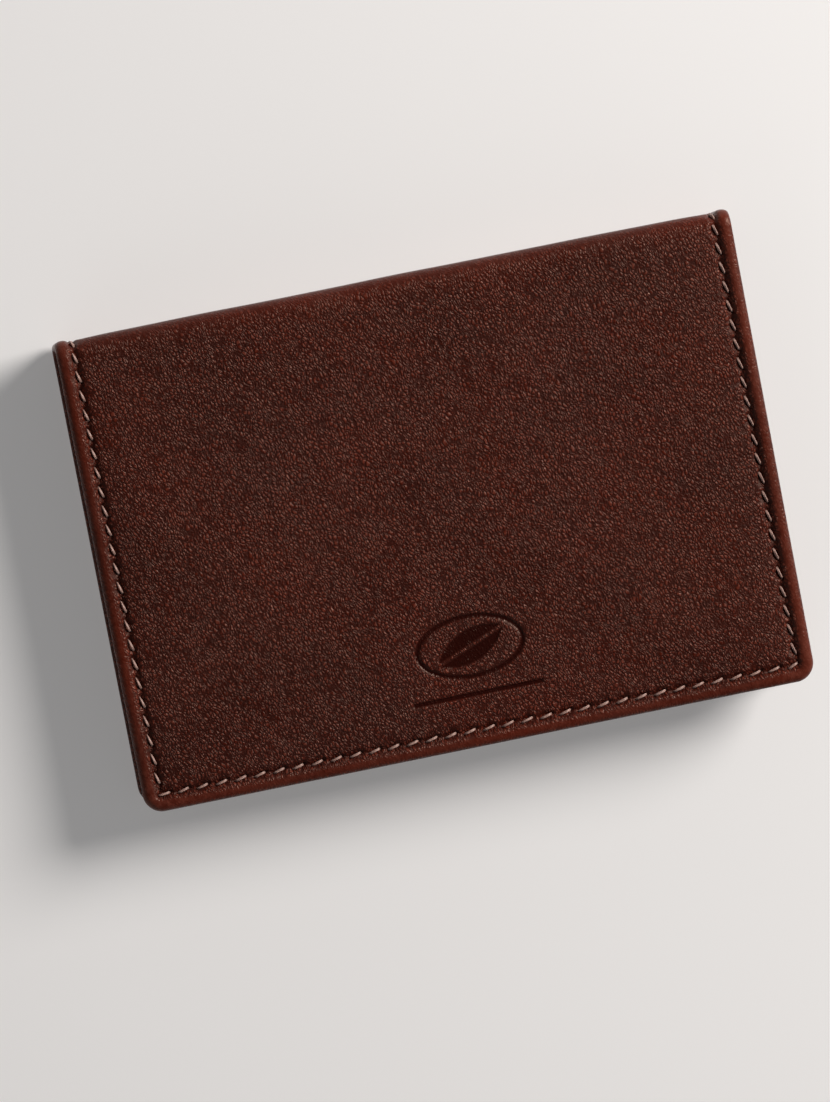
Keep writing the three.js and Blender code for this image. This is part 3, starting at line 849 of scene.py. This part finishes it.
def mouthed_layer(name, low, high, hidden, shown, material, node, body, side, notch=False, inset=0.0):
    """A closed sheet with turned edges and a stitched groove round all four sides."""
    radii = [INNER_RADIUS, INNER_RADIUS, 0.5, 0.5]
    rails = Rails((low[0] + inset, low[1] + inset), (high[0] - inset, high[1] - inset), radii, 0.35, True)
    groove = SEAM_INSET - LINING_INSET - inset
    thick = shown - hidden
    turned = min(0.2, abs(thick) / 2) * np.sign(thick)
    edge = abs(turned)
    insets = (PATCH_INSET, 3.6, 2.9, 2.4, 2.1, 1.85, 1.65, groove, 1.3, 1.1, 0.9, 0.65, 0.4, edge)
    section = [(u, shown) for u in insets]
    for a in (0.5, 1.0, math.pi / 2):
        section.append((edge * (1 - math.sin(a)), shown - turned * (1 - math.cos(a))))
    for a in (0.0, 0.6, 1.1):
        section.append((edge * (1 - math.cos(a)), hidden + turned * (1 - math.sin(a))))
    section += [(edge, hidden)]
    vertices, faces = sheet_arrays(rails, section, 2)
    x, s, depth, u, station = vertices.T
    seam = Seam(rails.rail(groove), STITCH_SLANT * side)
    phase = np.where(station < 0, 0, seam.phase()[station.astype(int)])
    face = smooth((depth - hidden) / thick, 0.5, 1.0) * np.sign(thick)
    sunk = 0.16 * bell(u, groove, 0.34) + 0.03 * phase * bell(u, groove, 0.9)
    s_new = s - notch_drop(x, s, high[1] - inset) if notch else s
    wave = 0.03 * np.sin(0.16 * x + 0.07 * s) * smooth(u, 2, PATCH_INSET)
    placed = np.stack([x, s_new, depth - (sunk + wave) * face * (abs(thick) > 0.5)], 1)
    wear = smooth(abs(depth - hidden) / abs(thick), 0.3, 0.9) * bell(u, 0.3, 0.5) * (s > high[1] - 3)
    piece = add_mesh(name, bend(placed, side), faces, on_hide(placed, side), wear)
    dress(piece, material, (node,))
    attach(piece, body)


def hide_box(box_low, box_high):
    """(x, s) corners of a layer that the CAD model gives in y."""
    return (box_low[0], box_low[1] - FREE_EDGE), (box_high[0], box_high[1] - FREE_EDGE)


rear_low, rear_high = hide_box(REAR_SLOT_LOW, REAR_SLOT_HIGH)
front_low, front_high = hide_box(FRONT_SLOT_LOW, FRONT_SLOT_HIGH)
panel_low, panel_high = hide_box(PANEL_LOW, PANEL_HIGH)
rear_face, front_face = THICKNESS - REAR_SLOT_LOW[2], THICKNESS - FRONT_SLOT_LOW[2]
mouthed_layer(
    "rear_slot_leather", rear_low, rear_high, THICKNESS - REAR_SLOT_HIGH[2], rear_face,
    INNER, "rear_card_slot", "front_cover", FRONT,
)
mouthed_layer(
    "front_slot_leather", front_low, front_high, THICKNESS - FRONT_SLOT_HIGH[2], front_face,
    INNER, "front_card_slot", "front_cover", FRONT,
)
mouthed_layer(
    "pocket_panel_leather", panel_low, panel_high, PANEL_LOW[2], PANEL_HIGH[2],
    INNER, "pocket_panel", "pocket", BACK, notch=True,
)
mouthed_layer(
    "pocket_panel_fabric", panel_low, panel_high, PANEL_LINING_HIGH[2], PANEL_LINING_LOW[2],
    LINING, "pocket_panel_lining", "pocket", BACK, notch=True, inset=0.15,
)

# ---- Inner stitches ----
INNER_SINK = 0.1
GUSSET_THICK = 0.4
mouth_stitch = SEAM_INSET - LINING_INSET


def front_level(s):
    if s < front_high[1]:
        return front_face
    if s < rear_high[1]:
        return rear_face
    return LINING_INNER - float(lining_rise(s))


def back_level(s):
    if s < GUSSET_HIGH[1] - FREE_EDGE:
        return GUSSET_LOW[2] + GUSSET_THICK
    return LINING_INNER - float(lining_rise(s))


inner_end = COVER_END - FREE_EDGE - 1
for cover, side, seam, level in (
    ("front", FRONT, front_inner, front_level),
    ("back", BACK, back_inner, back_level),
):
    stitches = [stitch for stitch in seam.stitches() if stitch[0][1] < inner_end]
    piece = add_stitches(
        f"{cover}_inner_stitches", stitches, side, level, -1, (f"{cover}_inner_thread",), INNER_SINK
    )
    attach(piece, "front_cover" if side == FRONT else "back_panel")


def mouth_line(mouth, notch):
    x = np.linspace(MOUTH_STITCH_END - HALF_WIDTH, HALF_WIDTH - MOUTH_STITCH_END, 400)
    s = np.full(400, mouth - mouth_stitch)
    if notch:
        s = s - notch_drop(x, s, mouth)
    return np.stack([x, s], 1)


for name, mouth, level, side, body, node in (
    ("rear_slot_stitches", rear_high[1], rear_face, FRONT, "front_cover", "rear_slot_thread"),
    ("front_slot_stitches", front_high[1], front_face, FRONT, "front_cover", "front_slot_thread"),
    ("pocket_mouth_stitches", panel_high[1], PANEL_HIGH[2], BACK, "pocket", "pocket_mouth_thread"),
):
    seam = Seam(mouth_line(mouth, body == "pocket"), STITCH_SLANT * side)
    piece = add_stitches(
        name, seam.stitches(), side, lambda s, flat=level: flat, -1, (node,), INNER_SINK + 0.05
    )
    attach(piece, body)

pocket_rails = Rails(panel_low, (panel_high[0], panel_high[1] - mouth_stitch), [INNER_RADIUS] * 4, 0.4)
seam = Seam(pocket_rails.rail(mouth_stitch), STITCH_SLANT * BACK)
piece = add_stitches(
    "pocket_seam_stitches", seam.stitches(), BACK, lambda s: PANEL_HIGH[2], -1, ("pocket_seam_thread",),
    INNER_SINK + 0.05,
)
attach(piece, "pocket")

# ---- Gusset: a soft strip folded inwards between the back lining and the pocket panel ----
GUSSET_FOOT, GUSSET_FOLD = 3.9, 7.0  # insets
GUSSET_GIVE = 2.2  # its grain is drawn out to its natural size as the pocket opens


def gusset_section():
    """Closed loop of (inset, z) round the folded strip, whose fold points away from the edge."""
    low, high = GUSSET_LOW[2], GUSSET_HIGH[2]
    middle, half = (low + high) / 2, (high - low) / 2
    line = [(LINING_INSET, low + GUSSET_THICK / 2), (2.6, low + GUSSET_THICK / 2)]
    for angle in np.linspace(-90, 90, 19):
        turn = math.radians(angle)
        bulge = math.cos(turn) ** 0.8
        reach = (GUSSET_FOLD - GUSSET_FOOT - GUSSET_THICK / 2) * bulge
        line.append((GUSSET_FOOT + reach, middle + (half - GUSSET_THICK / 2) * math.sin(turn)))
    line += [(2.6, high - GUSSET_THICK / 2), (LINING_INSET, high - GUSSET_THICK / 2)]
    line = np.array(line)
    way = np.gradient(line, axis=0)
    way /= np.linalg.norm(way, axis=1)[:, None]
    side = np.stack([way[:, 1], -way[:, 0]], 1) * GUSSET_THICK / 2
    return [tuple(p) for p in np.concatenate([line + side, (line - side)[::-1]])]


gusset_end = GUSSET_HIGH[1] - FREE_EDGE
gusset_rails = Rails((-HALF_WIDTH, 0), (HALF_WIDTH, gusset_end), [CORNER_RADIUS] * 4, 0.8, zone=8.0)
section = gusset_section()
vertices, faces = sweep_arrays(gusset_rails, section)
middle = gusset_rails.rail(GUSSET_FOOT)
along = np.concatenate([[0], np.cumsum(np.linalg.norm(np.diff(middle, axis=0), axis=1))])
around = np.concatenate([[0], np.cumsum(np.linalg.norm(np.diff(section, axis=0), axis=1))])
unrolled = np.stack([
    np.tile(along, len(section)),
    np.repeat(around, len(along)) * GUSSET_GIVE,
    np.zeros(len(vertices)),
], 1)
piece = add_mesh("pocket_gusset_leather", bend(vertices, BACK), faces, unrolled)
dress(piece, INNER, ("pocket_gusset",))
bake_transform(piece)

# ---- Floor, lights and camera ----
FLOOR_REACH = 3.0
FLOOR_GAP = 0.03  # millimetres
floor_mesh = bpy.data.meshes.new("floor")
floor_corners = [(x * FLOOR_REACH, y * FLOOR_REACH, 0) for x, y in ((-1, -1), (1, -1), (1, 1), (-1, 1))]
floor_mesh.from_pydata(floor_corners, [], [(0, 1, 2, 3)])
floor_mesh.materials.append(floor_material())
floor = bpy.data.objects.new("floor", floor_mesh)
bpy.context.collection.objects.link(floor)
floor.location.z = -FLOOR_GAP * MM


def area_light(name, place, size, power, colour=(1, 1, 1)):
    data = bpy.data.lights.new(name, "AREA")
    data.shape = "DISK"
    data.size, data.energy, data.color = size, power, colour
    light = bpy.data.objects.new(name, data)
    light.location = place
    light.rotation_euler = (Vector((0, 0, 0)) - Vector(place)).to_track_quat("-Z", "Y").to_euler()
    bpy.context.collection.objects.link(light)


area_light("key", (0.78, 0.36, 0.52), 0.5, 13.6, (1.0, 0.97, 0.94))
area_light("fill", (-0.8, -0.7, 0.5), 0.9, 0.7, (0.96, 0.98, 1.0))
bpy.context.scene.view_settings.view_transform = "Standard"

HORIZON_GLOW = 0.45
OVERHEAD_GLOW = 0.03
world = bpy.data.worlds.new("studio")
world.use_nodes = True
sky = world.node_tree
direction = sky.nodes.new("ShaderNodeTexCoord")
height = sky.nodes.new("ShaderNodeSeparateXYZ")
glow = sky.nodes.new("ShaderNodeMapRange")
sky.links.new(direction.outputs["Generated"], height.inputs[0])
sky.links.new(height.outputs["Z"], glow.inputs["Value"])
glow.inputs["From Max"].default_value = 0.75
glow.inputs["To Min"].default_value = HORIZON_GLOW
glow.inputs["To Max"].default_value = OVERHEAD_GLOW
sky.links.new(glow.outputs[0], sky.nodes["Background"].inputs["Strength"])
sky.nodes["Background"].inputs["Color"].default_value = (0.95, 0.97, 1.0, 1)
bpy.context.scene.world = world

VIEW_TILT = (-0.08, 0.12)  # x and y of the direction from the card holder to the camera
VIEW_ROLL = -0.1902
VIEW_AIM = (-4.558, -5.08)  # point of the front cover that is in the middle of the picture
VIEW_DISTANCE = 1500.0
FOCAL_PIXELS = 6.5572 * VIEW_DISTANCE
IMAGE_HEIGHT = 1102
SENSOR = 36.0

toward = Vector((*VIEW_TILT, math.sqrt(1 - VIEW_TILT[0] ** 2 - VIEW_TILT[1] ** 2)))
level_right = Vector((0, 1, 0)).cross(toward).normalized()
level_up = toward.cross(level_right)
right = math.cos(VIEW_ROLL) * level_right + math.sin(VIEW_ROLL) * level_up
up = toward.cross(right)
camera_data = bpy.data.cameras.new("camera")
camera_data.sensor_width = SENSOR
camera_data.lens = FOCAL_PIXELS * SENSOR / IMAGE_HEIGHT
camera_data.clip_end = 20
camera = bpy.data.objects.new("camera", camera_data)
camera.matrix_world = Matrix.Translation(
    (Vector((*VIEW_AIM, THICKNESS)) + toward * VIEW_DISTANCE) * MM
) @ Matrix((right, up, toward)).transposed().to_4x4()
bpy.context.collection.objects.link(camera)
bpy.context.scene.camera = camera
